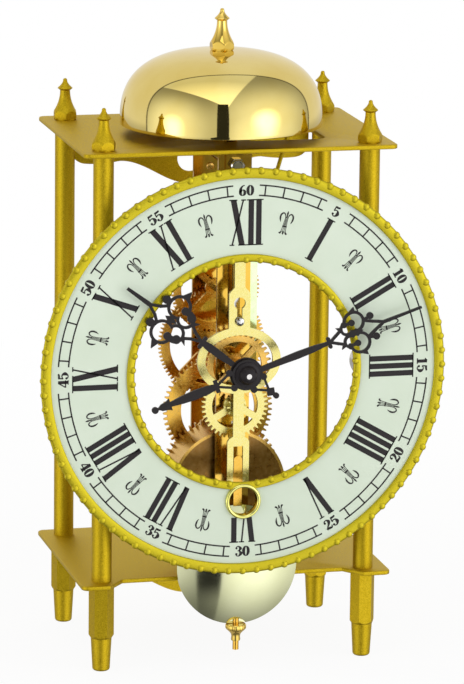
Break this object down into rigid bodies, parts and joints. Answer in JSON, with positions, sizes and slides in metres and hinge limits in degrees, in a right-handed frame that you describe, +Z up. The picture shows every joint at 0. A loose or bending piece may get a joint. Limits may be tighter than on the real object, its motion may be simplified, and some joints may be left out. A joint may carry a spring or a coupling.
{
  "type": "skeleton clock",
  "caption": "Open-frame table clock with a ring dial, pierced hands, visible wheel train, front pendulum and a hammer that strikes a bell on top.",
  "frame": {"origin": "on the table under the middle of the bounding box", "axes": "+X to the right of the dial, +Y from the dial to the back, +Z up"},
  "size_m": [0.122, 0.0783, 0.1939],
  "materials": {
    "gold_paint": "satin metallic gold paint",
    "polished_brass": "polished",
    "brass": "lacquered",
    "pale_brass": "pale satin",
    "steel": "bright",
    "spring_steel": "blued grey",
    "dial_enamel": "white enamel with printed figures",
    "hand_black": "satin black"
  },
  "bodies": {
    "case": {"top_plate": "gold_paint", "bottom_plate": "gold_paint", "pillar_front_left": "gold_paint", "pillar_front_right": "gold_paint", "pillar_rear_left": "gold_paint", "pillar_rear_right": "gold_paint", "finials": "gold_paint", "feet": "gold_paint", "upper_crest": "gold_paint", "lower_crest": "gold_paint", "front_plate": "brass", "rear_plate": "brass", "movement_pillars": "steel", "nuts": "steel", "case_screws": "brass", "dial_ring": "dial_enamel", "outer_bezel": "gold_paint", "inner_bezel": "gold_paint", "key_grommet": "polished_brass", "dial_spacers": "steel", "bell_stud": "brass", "bell": "polished_brass", "bell_finial": "polished_brass", "suspension_cock": "brass", "suspension_spring": "spring_steel", "click_spring": "spring_steel"},
    "barrel": {"barrel_drum": "brass", "barrel_cover": "brass", "great_wheel": "brass", "mainspring": "spring_steel"},
    "winding": {"winding_arbor": "steel", "ratchet_wheel": "steel"},
    "click_lever": {"click": "steel"},
    "intermediate": {"intermediate_arbor": "steel", "intermediate_wheel": "brass"},
    "centre": {"centre_pinion": "steel", "centre_wheel": "brass"},
    "third": {"third_arbor": "steel", "third_wheel": "brass"},
    "escape": {"escape_arbor": "steel", "escape_wheel": "brass"},
    "minute_drive": {"hand_arbor": "steel", "strike_cam": "brass", "cannon_pinion": "pale_brass", "minute_hand": "hand_black", "hand_nut": "hand_black"},
    "motion_wheel": {"minute_wheel": "pale_brass"},
    "hour_drive": {"hour_wheel": "pale_brass", "hour_hand": "hand_black"},
    "anchor": {"pallet_arbor": "steel", "pallets": "steel", "crutch": "steel"},
    "pendulum": {"pendulum_rod": "pale_brass", "bob_hanger": "pale_brass"},
    "bob_disc": {"bob": "polished_brass"},
    "nut": {"rating_nut": "polished_brass"},
    "hammer": {"hammer_arbor": "steel", "hammer_rod": "steel", "hammer_head": "brass", "strike_lever": "pale_brass"}
  },
  "joints": [
    {"name": "minute_hand_turn", "type": "hinge", "parent": "case", "child": "minute_drive", "pos_m": [0, -0.00458, 0.0912], "axis": [0, 1, 0], "continuous": true},
    {"name": "minute_wheel_turn", "type": "hinge", "parent": "case", "child": "motion_wheel", "pos_m": [0, -0.00458, 0.07872], "axis": [0, 1, 0], "continuous": true},
    {"name": "hour_hand_turn", "type": "hinge", "parent": "case", "child": "hour_drive", "pos_m": [0, -0.00458, 0.0912], "axis": [0, 1, 0], "continuous": true},
    {"name": "third_wheel_turn", "type": "hinge", "parent": "case", "child": "third", "pos_m": [0, -0.00458, 0.1088], "axis": [0, 1, 0], "continuous": true},
    {"name": "escape_wheel_turn", "type": "hinge", "parent": "case", "child": "escape", "pos_m": [0, -0.00458, 0.1232], "axis": [0, 1, 0], "continuous": true},
    {"name": "centre_wheel_turn", "type": "hinge", "parent": "case", "child": "centre", "pos_m": [0, -0.00458, 0.0912], "axis": [0, 1, 0], "continuous": true},
    {"name": "intermediate_wheel_turn", "type": "hinge", "parent": "case", "child": "intermediate", "pos_m": [0, -0.00458, 0.07283], "axis": [0, 1, 0], "continuous": true},
    {"name": "barrel_turn", "type": "hinge", "parent": "case", "child": "barrel", "pos_m": [0, -0.00458, 0.05242], "axis": [0, 1, 0], "continuous": true},
    {"name": "winding_turn", "type": "hinge", "parent": "case", "child": "winding", "pos_m": [0, -0.00458, 0.05242], "axis": [0, 1, 0], "continuous": true},
    {"name": "click_lift", "type": "hinge", "parent": "case", "child": "click_lever", "pos_m": [0, 0.01443, 0.06342], "axis": [0, -1, 0], "range_deg": [0, 14], "stiffness_Nm_per_rad": 0.0002, "springref_deg": -5.73},
    {"name": "pendulum_swing", "type": "hinge", "parent": "case", "child": "pendulum", "pos_m": [0, -0.02608, 0.1364], "axis": [0, 1, 0], "range_deg": [-5, 5], "deforming": ["suspension_spring"]},
    {"name": "anchor_rock", "type": "hinge", "parent": "case", "child": "anchor", "pos_m": [0, -0.00458, 0.1364], "axis": [0, 1, 0], "range_deg": [-5, 5]},
    {"name": "bob_slide", "type": "slide", "parent": "pendulum", "child": "bob_disc", "axis": [0, 0, 1], "range_m": [-0.0022, 0.0022]},
    {"name": "rating_nut_turn", "type": "hinge", "parent": "bob_disc", "child": "nut", "pos_m": [0, -0.02608, 0.011], "axis": [0, 0, 1], "range_deg": [-1590, 1590]},
    {"name": "hammer_lift", "type": "hinge", "parent": "case", "child": "hammer", "pos_m": [0.013, -0.00108, 0.13], "axis": [0, -1, 0], "range_deg": [0, 10]}
  ],
  "couplings": [
    {"joint": "minute_wheel_turn", "follows": "minute_hand_turn", "ratio": -0.3},
    {"joint": "hour_hand_turn", "follows": "minute_hand_turn", "ratio": 0.083333},
    {"joint": "escape_wheel_turn", "follows": "third_wheel_turn", "ratio": -11},
    {"joint": "centre_wheel_turn", "follows": "third_wheel_turn", "ratio": -0.1},
    {"joint": "intermediate_wheel_turn", "follows": "third_wheel_turn", "ratio": 0.012903},
    {"joint": "barrel_turn", "follows": "third_wheel_turn", "ratio": -0.0017204},
    {"joint": "anchor_rock", "follows": "pendulum_swing", "ratio": 1},
    {"joint": "rating_nut_turn", "follows": "bob_slide", "rad_per_m": 12566}
  ]
}
